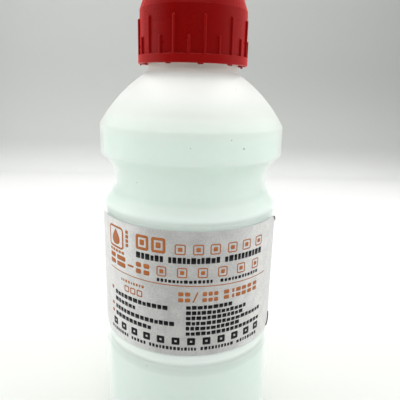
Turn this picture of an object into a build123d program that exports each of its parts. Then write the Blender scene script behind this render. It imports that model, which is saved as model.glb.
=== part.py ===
"""A 500 ml photo-chemical bottle: waisted blown body, screw cap, sealing liner, label and contents.

Millimetres, +Z up. The origin is the centre of the standing ring, and the label faces -Y.
"""

from build123d import *
from math import sin
import os

os.makedirs("parts", exist_ok=True)

# ---- bottle body -----------------------------------------------------------------------
WALL = 1.2
RING_INNER_R = 26.5            # flat standing ring round the push-up
PUSH_UP = 3.0
HEEL_FILLET = 4.5
BODY_R = 35.8                  # below and above the label panel
PANEL_R = 35.5                 # recessed label panel
PANEL_BOTTOM_Z = 49.2
PANEL_TOP_Z = 103.6
PANEL_STEP = 0.9               # height of the slope at each end of the panel
LIP_Z = 106.4                  # where the body turns in to the waist
LIP_FILLET = 2.5
WAIST_CORNER = (27.0, 116.3)   # where the two slopes of the waist would meet
WAIST_FILLET = 10.0
BAND_R = 36.0                  # the bulge above the waist
BAND_BOTTOM_Z = 125.2
BAND_TOP_Z = 136.2
BAND_FILLET = 1.5
SHOULDER_SAGITTA = 1.7         # how far the dome bows out from a straight cone

# ---- neck and screw thread ----------------------------------------------------------------
NECK_R = 17.4
NECK_ROOT_Z = 155.9
NECK_ROOT_FILLET = 1.8
NECK_TOP_Z = 180.25
RIM_FILLET = 0.3
BEAD_R = 18.7
BEAD_Z = 160.2
BEAD_HEIGHT = 1.8
PITCH = 4.2
CREST_WIDTH = 1.0              # width of either thread at its crest
ROOT_WIDTH = 2.0               # width of either thread at its root
BITE = 0.3                     # how far a raised feature reaches into its wall, to join it
NECK_THREAD_R = 18.6
NECK_THREAD_Z = 169.3          # middle of the thread at its lower end
NECK_TURNS = 2.0

# ---- screw cap ------------------------------------------------------------------------------
CAP_BOTTOM_Z = 158.5
FLANGE_R = 21.0
FLANGE_TOP_Z = 161.6
DRUM_R = 20.3
DRUM_TOP_Z = 177.5
CROWN_R = 18.2                 # where the sloping crown would meet the flat top
CROWN_FILLET = 1.5
CAP_TOP_Z = 183.5
CAP_EDGE_FILLET = 0.3
FLANGE_BORE_R = 19.6
FLANGE_BORE_TOP_Z = 162.2
CAP_BORE_R = 19.2
CAP_BORE_TOP_Z = 178.9
CEILING_R = 17.8
CEILING_Z = 181.75
CAP_THREAD_R = 17.9
CAP_TURNS = 2.25
RIBS_OF_EACH = 12              # long ribs, and as many short ones between them
LONG_RIB_TOP_Z = 174.2
SHORT_RIB_TOP_Z = 167.6
RIB_WIDTH = 0.9
RIB_END_FILLET = 0.4
RIB_EDGE_FILLET = 0.25
RIB_START = -79.0              # direction of a long rib, in degrees
STUBS = 11                     # what is left of the bridges to the torn-off tamper band
STUB_START = -82.5             # direction of a stub, in degrees
STUB_R = 20.2
STUB_WIDTH = 1.5
STUB_DEPTH = 0.7
STUB_HEIGHT = 0.8

# ---- liner, label and contents --------------------------------------------------------------
LINER_R = 17.45
LINER_GAP = 0.05               # clear of the rim below and the cap's ceiling above
LABEL_THICK = 0.12
LABEL_GAP = 0.05
LABEL_BOTTOM_Z = 54.0
LABEL_TOP_Z = 102.8
LABEL_SPAN = 148.5             # degrees of the body that it wraps
LABEL_MIDDLE = -92.8           # direction of its middle
LIQUID_GAP = 0.05              # clear of the wall round it
LEVEL_Z = 140.5                # holds 500 ml


def thread(root_r, crest_r, start_z, turns):
    """Right-hand trapezoid thread on the Z axis, starting in the +X direction."""
    with BuildPart() as ridge:
        with BuildLine() as path:
            Helix(PITCH, PITCH * turns, NECK_R, center=(0, 0, start_z))
        with BuildSketch(Plane.XZ):
            with BuildLine():
                Polyline(
                    (root_r, start_z - ROOT_WIDTH / 2),
                    (crest_r, start_z - CREST_WIDTH / 2),
                    (crest_r, start_z + CREST_WIDTH / 2),
                    (root_r, start_z + ROOT_WIDTH / 2),
                    close=True,
                )
            make_face()
        sweep(path=path.line, is_frenet=True)
    return ridge.part


def rib(top_z):
    """Grip rib in the +X direction, from inside the flange up to a rounded end on the drum."""
    with BuildPart() as ridge:
        with BuildSketch(Plane.YZ.offset(DRUM_R - BITE)):
            with Locations((0, FLANGE_TOP_Z - BITE)):
                Rectangle(RIB_WIDTH, top_z - FLANGE_TOP_Z + BITE, align=(Align.CENTER, Align.MIN))
        extrude(amount=FLANGE_R - DRUM_R + BITE)
        fillet(ridge.edges().filter_by(Axis.X).group_by(Axis.Z)[-1], RIB_END_FILLET)
        outer_edges = ridge.faces().sort_by(Axis.X)[-1].edges()
        fillet(outer_edges.sort_by(Axis.Z)[1:], RIB_EDGE_FILLET)
    return ridge.part


# ---- the blown shape, solid: the bottle and its contents are both made from it ---------------
with BuildPart() as blown_shape:
    with BuildSketch(Plane.XZ):
        with BuildLine():
            Line((0, NECK_TOP_Z), (0, PUSH_UP))
            TangentArc((0, PUSH_UP), (RING_INNER_R, 0), tangent=(1, 0))
            FilletPolyline(
                (RING_INNER_R, 0),
                (BODY_R, 0),
                (BODY_R, PANEL_BOTTOM_Z),
                (PANEL_R, PANEL_BOTTOM_Z + PANEL_STEP),
                (PANEL_R, PANEL_TOP_Z),
                (BODY_R, PANEL_TOP_Z + PANEL_STEP),
                (BODY_R, LIP_Z),
                WAIST_CORNER,
                (BAND_R, BAND_BOTTOM_Z),
                (BAND_R, BAND_TOP_Z),
                radius=[HEEL_FILLET, 0, 0, 0, 0, LIP_FILLET, WAIST_FILLET, BAND_FILLET],
            )
            SagittaArc((BAND_R, BAND_TOP_Z), (NECK_R, NECK_ROOT_Z), SHOULDER_SAGITTA)
            Polyline((NECK_R, NECK_ROOT_Z), (NECK_R, NECK_TOP_Z), (0, NECK_TOP_Z))
        make_face()
    revolve(axis=Axis.Z)
    neck_root = blown_shape.edges().filter_by_position(Axis.Z, NECK_ROOT_Z - BITE, NECK_ROOT_Z + BITE)
    fillet(neck_root, NECK_ROOT_FILLET)

# ---- bottle: the blown wall, the bead that held the tamper band, and the neck's thread --------
with BuildPart() as bottle:
    add(blown_shape.part)
    offset(amount=-WALL, openings=bottle.faces().sort_by(Axis.Z)[-1])
    fillet(bottle.edges().group_by(Axis.Z)[-1], RIM_FILLET)
    with BuildSketch(Plane.XZ):
        with BuildLine():
            Polyline(
                (NECK_R - BITE, BEAD_Z - BEAD_HEIGHT / 2),
                (BEAD_R, BEAD_Z - BEAD_HEIGHT / 4),
                (BEAD_R, BEAD_Z),
                (NECK_R - BITE, BEAD_Z + BEAD_HEIGHT / 2),
                close=True,
            )
        make_face()
    revolve(axis=Axis.Z)
    add(thread(NECK_R - BITE, NECK_THREAD_R, NECK_THREAD_Z, NECK_TURNS))
bottle.part.label = "bottle"
export_step(bottle.part, "parts/bottle.step")

# ---- liquid: fills the bottle to its 500 ml level ---------------------------------------------
with BuildPart() as liquid:
    add(blown_shape.part)
    offset(amount=-(WALL + LIQUID_GAP))
    split(bisect_by=Plane.XY.offset(LEVEL_Z), keep=Keep.BOTTOM)
liquid.part.label = "liquid"
export_step(liquid.part, "parts/liquid.step")

# ---- label: a thin sheet round the front of the panel -----------------------------------------
with BuildPart() as label:
    with BuildSketch(Plane.XY.offset(LABEL_BOTTOM_Z)):
        with BuildLine():
            back_r = PANEL_R + LABEL_GAP
            back = CenterArc((0, 0), back_r, LABEL_MIDDLE - LABEL_SPAN / 2, LABEL_SPAN)
            face = CenterArc((0, 0), back_r + LABEL_THICK, LABEL_MIDDLE - LABEL_SPAN / 2, LABEL_SPAN)
            Line(back @ 0, face @ 0)
            Line(back @ 1, face @ 1)
        make_face()
    extrude(amount=LABEL_TOP_Z - LABEL_BOTTOM_Z)
label.part.label = "label"
export_step(label.part, "parts/label.step")

# ---- cap: flange, drum and sloping crown, with grip ribs outside and a thread inside -----------
with BuildPart() as cap:
    with BuildSketch(Plane.XZ):
        with BuildLine():
            FilletPolyline(
                (0, CAP_TOP_Z),
                (CROWN_R, CAP_TOP_Z),
                (DRUM_R, DRUM_TOP_Z),
                (DRUM_R, FLANGE_TOP_Z),
                (FLANGE_R, FLANGE_TOP_Z),
                (FLANGE_R, CAP_BOTTOM_Z),
                (FLANGE_BORE_R, CAP_BOTTOM_Z),
                (FLANGE_BORE_R, FLANGE_BORE_TOP_Z),
                (CAP_BORE_R, FLANGE_BORE_TOP_Z + FLANGE_BORE_R - CAP_BORE_R),
                (CAP_BORE_R, CAP_BORE_TOP_Z),
                (CEILING_R, CEILING_Z),
                (0, CEILING_Z),
                radius=[
                    CROWN_FILLET, CAP_EDGE_FILLET, 0, CAP_EDGE_FILLET, CAP_EDGE_FILLET, 0, 0, 0, 0, 0,
                ],
            )
            Line((0, CEILING_Z), (0, CAP_TOP_Z))
        make_face()
    revolve(axis=Axis.Z)
    add(thread(CAP_BORE_R + BITE, CAP_THREAD_R, NECK_THREAD_Z - PITCH / 2, CAP_TURNS))
    with PolarLocations(0, RIBS_OF_EACH, start_angle=RIB_START):
        add(rib(LONG_RIB_TOP_Z))
    with PolarLocations(0, RIBS_OF_EACH, start_angle=RIB_START + 180 / RIBS_OF_EACH):
        add(rib(SHORT_RIB_TOP_Z))
    for stub in range(STUBS):
        torn_height = STUB_HEIGHT * (0.8 + 0.2 * sin(2.4 * stub))
        with BuildSketch(Plane.XY.offset(CAP_BOTTOM_Z + BITE)):
            with PolarLocations(STUB_R, 1, start_angle=STUB_START + stub * 360 / STUBS):
                Rectangle(STUB_DEPTH, STUB_WIDTH)
        extrude(amount=-(torn_height + BITE))
cap.part.label = "cap"
export_step(cap.part, "parts/cap.step")

# ---- cap_liner: foam disc that the cap presses on the rim --------------------------------------
with BuildPart() as cap_liner:
    with BuildSketch(Plane.XY.offset(NECK_TOP_Z + LINER_GAP)):
        Circle(LINER_R)
    extrude(amount=CEILING_Z - NECK_TOP_Z - 2 * LINER_GAP)
cap_liner.part.label = "cap_liner"
export_step(cap_liner.part, "parts/cap_liner.step")
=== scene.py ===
"""Looks of a 500 ml photo-chemical bottle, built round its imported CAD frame.

Lengths are in metres in the frame's own axes: +Z up the bottle, the front of the label towards -Y.
Sizes that a maker would give in millimetres are written as a number times MM.
"""

import logging
import math
from dataclasses import dataclass, field
from enum import Enum

import bpy
import numpy as np
from mathutils import Matrix, Vector


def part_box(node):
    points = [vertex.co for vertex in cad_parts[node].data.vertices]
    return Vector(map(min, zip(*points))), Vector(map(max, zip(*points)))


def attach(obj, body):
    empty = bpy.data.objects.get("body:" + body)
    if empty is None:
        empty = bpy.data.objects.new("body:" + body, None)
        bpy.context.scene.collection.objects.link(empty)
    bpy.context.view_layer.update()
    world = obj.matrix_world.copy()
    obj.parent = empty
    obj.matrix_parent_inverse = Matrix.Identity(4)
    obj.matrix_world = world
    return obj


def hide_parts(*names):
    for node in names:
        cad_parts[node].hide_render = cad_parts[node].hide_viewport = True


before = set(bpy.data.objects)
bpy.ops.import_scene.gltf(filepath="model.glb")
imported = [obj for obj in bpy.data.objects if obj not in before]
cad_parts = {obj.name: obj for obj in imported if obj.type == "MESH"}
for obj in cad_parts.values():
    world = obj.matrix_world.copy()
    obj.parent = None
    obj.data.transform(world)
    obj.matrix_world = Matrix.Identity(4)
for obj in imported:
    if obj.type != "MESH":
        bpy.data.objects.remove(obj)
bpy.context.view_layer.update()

LOG = logging.getLogger("chemical_bottle")
MM = 0.001
FULL_TURN = 2.0 * math.pi
ARC_STEP_DEG = 9.0          # turn between neighbouring points of a fillet
EDGE_SUPPORT = 0.12 * MM    # distance from a flat's end to the point that keeps its shading flat

Colour = tuple[float, float, float, float]
Shape = tuple[np.ndarray, list]     # points, and the corner indices of the faces


# ---------------------------------------------------------------- shapes as arrays


def smooth_ramp(x: np.ndarray, low: float, high: float) -> np.ndarray:
    """Ease from 0 at low to 1 at high, level at both ends.

    Args:
        x: Values to ease.
        low: Value where the ramp starts.
        high: Value where the ramp is complete.

    Returns:
        3t^2 - 2t^3 of the clipped share t of the way from low to high.
    """
    t = np.clip((np.asarray(x, float) - low) / (high - low), 0.0, 1.0)
    return t * t * (3.0 - 2.0 * t)


def divided_line(start: np.ndarray, end: np.ndarray, spacing: float) -> list[np.ndarray]:
    """Points along a straight line, without its first one.

    Args:
        start: Where the line starts.
        end: Where it ends.
        spacing: Longest step allowed.

    Returns:
        The points, the last of them at the end.
    """
    length = float(np.linalg.norm(end - start))
    if length < 1e-9:
        return []
    share = np.linspace(0.0, 1.0, max(1, math.ceil(length / spacing)) + 1)
    if length > 4.0 * EDGE_SUPPORT:
        support = EDGE_SUPPORT / length
        share = np.unique(np.concatenate([share, [support, 1.0 - support]]))
    return [start + (end - start) * s for s in share[1:]]


def filleted_run(corners: list[tuple[float, float, float]], spacing: float) -> np.ndarray:
    """Points along straight runs whose corners are rounded by arcs.

    Each corner's arc is tangent to both of its runs, so it starts radius * tan(turn / 2) before the
    corner. Straight stretches are divided evenly, with one extra point close to each end that
    keeps the shading of the flats flat.

    Args:
        corners: (radius from the axis, height, fillet radius) of every corner, in order.
        spacing: Longest step allowed along a straight stretch.

    Returns:
        Array of (radius, height) points.
    """
    places = np.array([corner[:2] for corner in corners], float)
    points = [places[0]]
    start = places[0]
    for index in range(1, len(corners)):
        corner = places[index]
        ahead = places[min(index + 1, len(corners) - 1)] - corner
        behind = places[index - 1] - corner
        fillet = corners[index][2]
        if index == len(corners) - 1 or fillet <= 0.0:
            points.extend(divided_line(start, corner, spacing))
            start = corner
            continue
        behind_unit = behind / np.linalg.norm(behind)
        ahead_unit = ahead / np.linalg.norm(ahead)
        opening = math.acos(float(np.clip(behind_unit @ ahead_unit, -1.0, 1.0)))
        reach = fillet / math.tan(opening / 2.0)
        middle = corner + (behind_unit + ahead_unit) / np.linalg.norm(behind_unit + ahead_unit) * (
            fillet / math.sin(opening / 2.0)
        )
        points.extend(divided_line(start, corner + behind_unit * reach, spacing))
        first = corner + behind_unit * reach - middle
        last = corner + ahead_unit * reach - middle
        turn = math.pi - opening
        steps = max(3, math.ceil(math.degrees(turn) / ARC_STEP_DEG))
        share = np.arange(1, steps + 1)[:, None] / steps
        arc = (np.sin((1.0 - share) * turn) * first + np.sin(share * turn) * last) / math.sin(turn)
        points.extend(middle + arc)
        start = corner + ahead_unit * reach
    return np.array(points)


def bowed_line(
    start: tuple[float, float], end: tuple[float, float], rise: float, steps: int
) -> np.ndarray:
    """Circular arc between two points, bowed to the right of the way from start to end.

    With chord c and rise h the arc's radius is (c^2 / 4 + h^2) / 2h, and each point stands
    radius * (cos(angle) - cos(half angle)) off the chord.

    Args:
        start: (radius, height) of the first point.
        end: (radius, height) of the last point.
        rise: Greatest distance from the chord; negative to bow to the left.
        steps: Number of steps.

    Returns:
        Array of points, both ends included.
    """
    a, b = np.array(start), np.array(end)
    chord = float(np.linalg.norm(b - a))
    along = (b - a) / chord
    across = np.array([along[1], -along[0]])
    arc_radius = (chord * chord / 4.0 + rise * rise) / (2.0 * rise)
    half = math.asin(chord / 2.0 / abs(arc_radius)) * math.copysign(1.0, arc_radius)
    angle = np.linspace(-half, half, steps + 1)[:, None]
    lift = arc_radius * (np.cos(angle) - math.cos(half))
    return (a + b) / 2.0 + along * arc_radius * np.sin(angle) + across * lift


def moved_inward(outline: np.ndarray, distance: float) -> np.ndarray:
    """Outline of the inside of a wall of even thickness.

    Each point moves along the outline's normal, which is the mean of its neighbours' chord turned
    a quarter turn to the left; the solid lies on that side when the outline climbs.

    Args:
        outline: (radius, height) points.
        distance: Thickness of the wall.

    Returns:
        The moved points, kept off the far side of the axis.
    """
    chord = np.gradient(outline, axis=0)
    chord /= np.linalg.norm(chord, axis=1)[:, None]
    moved = outline + distance * np.stack([-chord[:, 1], chord[:, 0]], axis=1)
    moved[:, 0] = np.maximum(moved[:, 0], 0.0)
    return moved


def ring_angles(count: int, features: np.ndarray, offsets: np.ndarray) -> np.ndarray:
    """Angles round the axis: an even ring, with more of them at each feature.

    Args:
        count: Number of even steps round the ring.
        features: Angles of the features, in radians.
        offsets: Extra angles about each feature, in radians.

    Returns:
        Sorted angles from 0 to a full turn, without the even ones that crowd a feature.
    """
    even = np.arange(count) * FULL_TURN / count
    extra = (features[:, None] + offsets[None, :]).ravel() % FULL_TURN
    if len(features):
        nearest = np.abs((even[:, None] - features[None, :] + math.pi) % FULL_TURN - math.pi).min(1)
        even = even[nearest > offsets.max() * 1.2]
    return np.unique(np.concatenate([even, extra]).round(9))


def turned_grid(outline: np.ndarray, angles: np.ndarray, raised: np.ndarray | float = 0.0) -> np.ndarray:
    """Surface of revolution about Z with a raised pattern.

    The point at outline step i and angle a is ((r_i + h_ia) cos a, (r_i + h_ia) sin a, z_i).

    Args:
        outline: (radius, height) points.
        angles: Angles of the columns.
        raised: Height h of the pattern, one row for each outline point.

    Returns:
        Array of points, outline steps by angles by 3.
    """
    radius = outline[:, :1] + raised
    height = np.broadcast_to(outline[:, 1:], (len(outline), len(angles)))
    return np.stack([radius * np.cos(angles), radius * np.sin(angles), height], axis=2)


def grid_faces(rows: int, columns: int, wrap: bool) -> np.ndarray:
    """Corner indices of the quads of a grid, turning left from column to row.

    Args:
        rows: Number of rows of points.
        columns: Number of points in a row.
        wrap: Whether the last column joins the first.

    Returns:
        Array of four indices for each quad.
    """
    row = np.arange(rows - 1)[:, None] * columns
    column = np.arange(columns if wrap else columns - 1)[None, :]
    beside = (column + 1) % columns
    corners = [row + column, row + beside, row + columns + beside, row + columns + column]
    return np.stack([c.ravel() for c in np.broadcast_arrays(*corners)], axis=1)


def object_from_arrays(name: str, points: np.ndarray, faces: list, smooth: bool = True) -> bpy.types.Object:
    """Put points and faces into a new mesh object at the origin.

    Args:
        name: Name of the piece.
        points: Array of points.
        faces: Sequences of corner indices.
        smooth: Whether the faces are shaded smooth.

    Returns:
        The object, linked to the scene.
    """
    mesh = bpy.data.meshes.new(name)
    mesh.from_pydata(points.reshape(-1, 3).tolist(), [], faces)
    mesh.update()
    if smooth:
        mesh.shade_smooth()
    piece = bpy.data.objects.new(name, mesh)
    bpy.context.scene.collection.objects.link(piece)
    return piece


def pole_ended(grid: np.ndarray) -> Shape:
    """Points and faces of a closed grid whose first and last rows each shrink to one point.

    Args:
        grid: Rows by columns by 3, wrapping from the last column to the first.

    Returns:
        The points, and the corner indices of its quads and of the triangles at the poles.
    """
    columns = grid.shape[1]
    rings = grid[1:-1]
    points = np.concatenate([rings.reshape(-1, 3), grid[0].mean(0)[None], grid[-1].mean(0)[None]])
    first_pole = len(points) - 2
    last_pole = len(points) - 1
    column = np.arange(columns)
    beside = (column + 1) % columns
    top = (len(rings) - 1) * columns
    start_fan = np.stack([np.full(columns, first_pole), beside, column], axis=1)
    end_fan = np.stack([np.full(columns, last_pole), top + column, top + beside], axis=1)
    faces = grid_faces(len(rings), columns, wrap=True).tolist() + start_fan.tolist() + end_fan.tolist()
    return points, faces


def closed_turning(name: str, grid: np.ndarray) -> bpy.types.Object:
    """Closed piece from a turned grid whose first and last rows lie on the axis."""
    return object_from_arrays(name, *pole_ended(grid))


def closed_sheet(front: np.ndarray, back: np.ndarray) -> Shape:
    """Points and faces of a thin sheet, closed round its four edges.

    Args:
        front: Rows by columns by 3, facing outward.
        back: The same points moved to the other side.

    Returns:
        The points and the corner indices of the quads.
    """
    rows, columns = front.shape[:2]
    count = rows * columns
    outward = grid_faces(rows, columns, wrap=False)
    index = np.arange(count).reshape(rows, columns)
    loop = np.concatenate([index[0], index[1:, -1], index[-1, -2::-1], index[-2:0:-1, 0]])
    ahead = np.roll(loop, -1)
    rim = np.stack([ahead, loop, loop + count, ahead + count], axis=1)
    faces = np.concatenate([outward, outward[:, ::-1] + count, rim])
    return np.concatenate([front.reshape(-1, 3), back.reshape(-1, 3)]), faces.tolist()


def joined(parts: list[Shape]) -> Shape:
    """Several shapes as one.

    Args:
        parts: Points and faces of each shape.

    Returns:
        All the points, and all the faces with their indices moved on to match.
    """
    points, faces, count = [], [], 0
    for own_points, own_faces in parts:
        points.append(own_points)
        faces.extend([[corner + count for corner in face] for face in own_faces])
        count += len(own_points)
    return np.concatenate(points), faces


def rounded_loop(s: float, z: float, half_s: float, half_z: float, corner: float) -> np.ndarray:
    """Closed outline of a rounded rectangle, turning left.

    Args:
        s: Its middle along the first axis.
        z: Its middle along the second.
        half_s: Half of its width.
        half_z: Half of its height.
        corner: Radius of its corners.

    Returns:
        Array of 40 points: five for each corner and five along each side.
    """
    corner = min(corner, half_s, half_z)
    quarter = np.linspace(0.0, math.pi / 2.0, 5)
    points = []
    for index, (x, y) in enumerate(((1, 1), (-1, 1), (-1, -1), (1, -1))):
        turn = quarter + index * math.pi / 2.0
        arc = np.stack([
            s + x * (half_s - corner) + corner * np.cos(turn),
            z + y * (half_z - corner) + corner * np.sin(turn),
        ], axis=1)
        points.append(arc)
    arcs = np.array(points)
    share = (np.arange(1, 6) / 6.0)[:, None]
    loop = []
    for index in range(4):
        loop.append(arcs[index])
        loop.append(arcs[index][-1] * (1.0 - share) + arcs[(index + 1) % 4][0] * share)
    return np.concatenate(loop)


# ---------------------------------------------------------------- shader building


class Sheet:
    """A node tree being filled in, with short ways to add and join nodes."""

    def __init__(self, tree: bpy.types.NodeTree) -> None:
        """Keep the tree that nodes are added to."""
        self.tree = tree

    def add(self, kind: str, **settings: object) -> bpy.types.Node:
        """Add a node.

        Args:
            kind: Blender's name for the type of node.
            settings: Attributes of the node, such as operation or blend_type.

        Returns:
            The node.
        """
        node = self.tree.nodes.new(kind)
        for key, value in settings.items():
            setattr(node, key, value)
        return node

    def join(self, source: bpy.types.NodeSocket, target: bpy.types.NodeSocket) -> None:
        """Link one socket to another."""
        self.tree.links.new(source, target)

    def feed(self, target: bpy.types.NodeSocket, value: object) -> None:
        """Give an input a link if the value is a socket, or else a plain value.

        Args:
            target: The input.
            value: Socket or plain value.
        """
        if isinstance(value, bpy.types.NodeSocket):
            self.join(value, target)
        else:
            target.default_value = value

    def maths(self, operation: str, a: object, b: object = 0.0, clamp: bool = False) -> bpy.types.NodeSocket:
        """Result of a Math node.

        Args:
            operation: The node's operation.
            a: First value or socket.
            b: Second value or socket.
            clamp: Whether the result is kept from 0 to 1.

        Returns:
            The result socket.
        """
        node = self.add("ShaderNodeMath", operation=operation, use_clamp=clamp)
        self.feed(node.inputs[0], a)
        self.feed(node.inputs[1], b)
        return node.outputs[0]

    def ramp(
        self, value: object, low: float, high: float, to_low: float = 0.0, to_high: float = 1.0
    ) -> bpy.types.NodeSocket:
        """Smoothly mapped value.

        Args:
            value: Socket to map.
            low: Value that gives to_low.
            high: Value that gives to_high.
            to_low: Result at and below low.
            to_high: Result at and above high.

        Returns:
            The result socket.
        """
        node = self.add("ShaderNodeMapRange", interpolation_type="SMOOTHSTEP")
        for socket, given in zip(node.inputs, (value, low, high, to_low, to_high)):
            self.feed(socket, given)
        return node.outputs[0]

    def blend(self, share: object, a: object, b: object, how: str = "MIX") -> bpy.types.NodeSocket:
        """Blend of two colours.

        Args:
            share: Share of the second colour.
            a: First colour or socket.
            b: Second colour or socket.
            how: Blend type of the Mix node.

        Returns:
            The colour socket.
        """
        node = self.add("ShaderNodeMix", data_type="RGBA", blend_type=how)
        self.feed(node.inputs["Factor"], share)
        self.feed(node.inputs[6], a)
        self.feed(node.inputs[7], b)
        return node.outputs[2]

    def noise(
        self, place: object, scale: float, detail: float = 2.0, rough: float = 0.5
    ) -> bpy.types.NodeSocket:
        """Noise texture's value at a place.

        Args:
            place: Coordinate socket.
            scale: Cells to the metre.
            detail: Octaves.
            rough: Strength of the finer octaves.

        Returns:
            The value socket.
        """
        node = self.add("ShaderNodeTexNoise")
        self.feed(node.inputs["Vector"], place)
        self.feed(node.inputs["Scale"], scale)
        self.feed(node.inputs["Detail"], detail)
        self.feed(node.inputs["Roughness"], rough)
        return node.outputs["Fac"]

    def object_place(self) -> bpy.types.NodeSocket:
        """Coordinates in the piece's own axes."""
        return self.add("ShaderNodeTexCoord").outputs["Object"]

    def stretched(self, place: object, scale: tuple[float, float, float]) -> bpy.types.NodeSocket:
        """Coordinates scaled differently along each axis.

        Args:
            place: Coordinate socket.
            scale: Factor along each axis.

        Returns:
            The scaled coordinates.
        """
        node = self.add("ShaderNodeMapping")
        self.feed(node.inputs["Vector"], place)
        node.inputs["Scale"].default_value = scale
        return node.outputs[0]


def new_group(
    name: str, inputs: dict[str, float], outputs: tuple[str, ...]
) -> tuple[bpy.types.NodeTree, Sheet, bpy.types.Node, bpy.types.Node]:
    """Start a shader node group whose sockets are all plain values.

    Args:
        name: Name of the group.
        inputs: Name and default of each input.
        outputs: Names of the outputs.

    Returns:
        The tree, a Sheet on it, its input node and its output node.
    """
    tree = bpy.data.node_groups.new(name, "ShaderNodeTree")
    for label, default in inputs.items():
        socket = tree.interface.new_socket(label, in_out="INPUT", socket_type="NodeSocketFloat")
        socket.default_value = default
    for label in outputs:
        tree.interface.new_socket(label, in_out="OUTPUT", socket_type="NodeSocketFloat")
    sheet = Sheet(tree)
    return tree, sheet, sheet.add("NodeGroupInput"), sheet.add("NodeGroupOutput")


def moulded_skin_group() -> bpy.types.NodeTree:
    """Skin of moulded plastic: slow waves, fine orange peel and a roughness that drifts with them.

    Returns:
        The group, which puts out a height and a roughness.
    """
    tree, sheet, given, out = new_group(
        "moulded_skin",
        {"Wave Scale": 40.0, "Peel Scale": 900.0, "Peel Share": 0.3, "Rough Low": 0.3, "Rough High": 0.4},
        ("Height", "Roughness"),
    )
    place = sheet.object_place()
    wave = sheet.noise(place, given.outputs["Wave Scale"], 1.5)
    peel = sheet.noise(place, given.outputs["Peel Scale"], 3.0, 0.6)
    peel_part = sheet.maths("MULTIPLY", peel, given.outputs["Peel Share"])
    sheet.join(sheet.maths("ADD", wave, peel_part), out.inputs["Height"])
    patch = sheet.ramp(sheet.noise(place, 160.0, 4.0, 0.65), 0.35, 0.68)
    spread = sheet.maths("SUBTRACT", given.outputs["Rough High"], given.outputs["Rough Low"])
    drift = sheet.maths("MULTIPLY", patch, spread)
    sheet.join(sheet.maths("ADD", drift, given.outputs["Rough Low"]), out.inputs["Roughness"])
    return tree


def specks_group() -> bpy.types.NodeTree:
    """Scattered specks: a mask that is 1 inside small round dots at a share of the cells.

    Returns:
        The group, which puts out a mask.
    """
    tree, sheet, given, out = new_group(
        "specks", {"Cells": 300.0, "Dot Size": 0.12, "Share": 0.1}, ("Mask",)
    )
    cells = sheet.add("ShaderNodeTexVoronoi", feature="F1")
    sheet.join(sheet.object_place(), cells.inputs["Vector"])
    sheet.join(given.outputs["Cells"], cells.inputs["Scale"])
    dot = sheet.maths("LESS_THAN", cells.outputs["Distance"], given.outputs["Dot Size"])
    lot = sheet.add("ShaderNodeSeparateColor")
    sheet.join(cells.outputs["Color"], lot.inputs[0])
    chosen = sheet.maths("LESS_THAN", lot.outputs[0], given.outputs["Share"])
    sheet.join(sheet.maths("MULTIPLY", dot, chosen), out.inputs["Mask"])
    return tree


def scuffs_group() -> bpy.types.NodeTree:
    """Fine rubbing marks: thin stretched streaks in two directions, as a mask from 0 to 1.

    Returns:
        The group, which puts out a mask.
    """
    tree, sheet, given, out = new_group("scuffs", {"Amount": 0.5}, ("Mask",))
    place = sheet.object_place()
    level = sheet.noise(sheet.stretched(place, (120.0, 120.0, 2600.0)), 1.0, 3.0, 0.6)
    upright = sheet.noise(sheet.stretched(place, (1900.0, 1900.0, 90.0)), 1.0, 3.0, 0.6)
    streaks = sheet.maths("MAXIMUM", sheet.ramp(level, 0.62, 0.74), sheet.ramp(upright, 0.64, 0.76))
    where = sheet.ramp(sheet.noise(place, 55.0, 2.0), 0.45, 0.7)
    worn = sheet.maths("MULTIPLY", streaks, where)
    sheet.join(sheet.maths("MULTIPLY", worn, given.outputs["Amount"], clamp=True), out.inputs["Mask"])
    return tree


@dataclass(frozen=True)
class SharedEffects:
    """The node groups that more than one finish uses."""

    skin: bpy.types.NodeTree
    specks: bpy.types.NodeTree
    scuffs: bpy.types.NodeTree

    @classmethod
    def build(cls) -> "SharedEffects":
        """Build every group once."""
        return cls(moulded_skin_group(), specks_group(), scuffs_group())


def placed_group(sheet: Sheet, tree: bpy.types.NodeTree, **values: float) -> bpy.types.Node:
    """Place a shared group in a material with its own values.

    Args:
        sheet: Sheet of the material.
        tree: The group.
        values: Input values, named with underscores for spaces.

    Returns:
        The group node.
    """
    node = sheet.add("ShaderNodeGroup", node_tree=tree)
    for key, value in values.items():
        node.inputs[key.replace("_", " ")].default_value = value
    return node


def new_material(name: str) -> tuple[bpy.types.Material, Sheet, bpy.types.Node]:
    """Start a material with one Principled shader.

    Args:
        name: Name of the material.

    Returns:
        The material, its sheet and the shader node.
    """
    material = bpy.data.materials.new(name)
    material.use_nodes = True
    sheet = Sheet(material.node_tree)
    return material, sheet, material.node_tree.nodes["Principled BSDF"]


def set_sockets(shader: bpy.types.Node, values: dict[str, object]) -> None:
    """Give a shader's own sockets values that are the same all over the surface."""
    for label, value in values.items():
        shader.inputs[label].default_value = value


def bumped(sheet: Sheet, shader: bpy.types.Node, height: object, depth: float) -> None:
    """Raise the shader's normal from a height.

    Args:
        sheet: Sheet of the material.
        shader: Its Principled shader.
        height: Height socket, from 0 to 1.
        depth: Depth in metres that a height of 1 stands for.
    """
    bump = sheet.add("ShaderNodeBump")
    bump.inputs["Distance"].default_value = depth
    bump.inputs["Strength"].default_value = 1.0
    sheet.join(height, bump.inputs["Height"])
    sheet.join(bump.outputs["Normal"], shader.inputs["Normal"])


# ---------------------------------------------------------------- finishes


@dataclass(frozen=True)
class PaintedLightBand:
    """A level band of the wall painted lighter or darker as painted light and shade, with more or less milk
    in it.
    """

    middle: float
    half: float
    colour: Colour
    extra_density: float = 0.0


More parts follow.
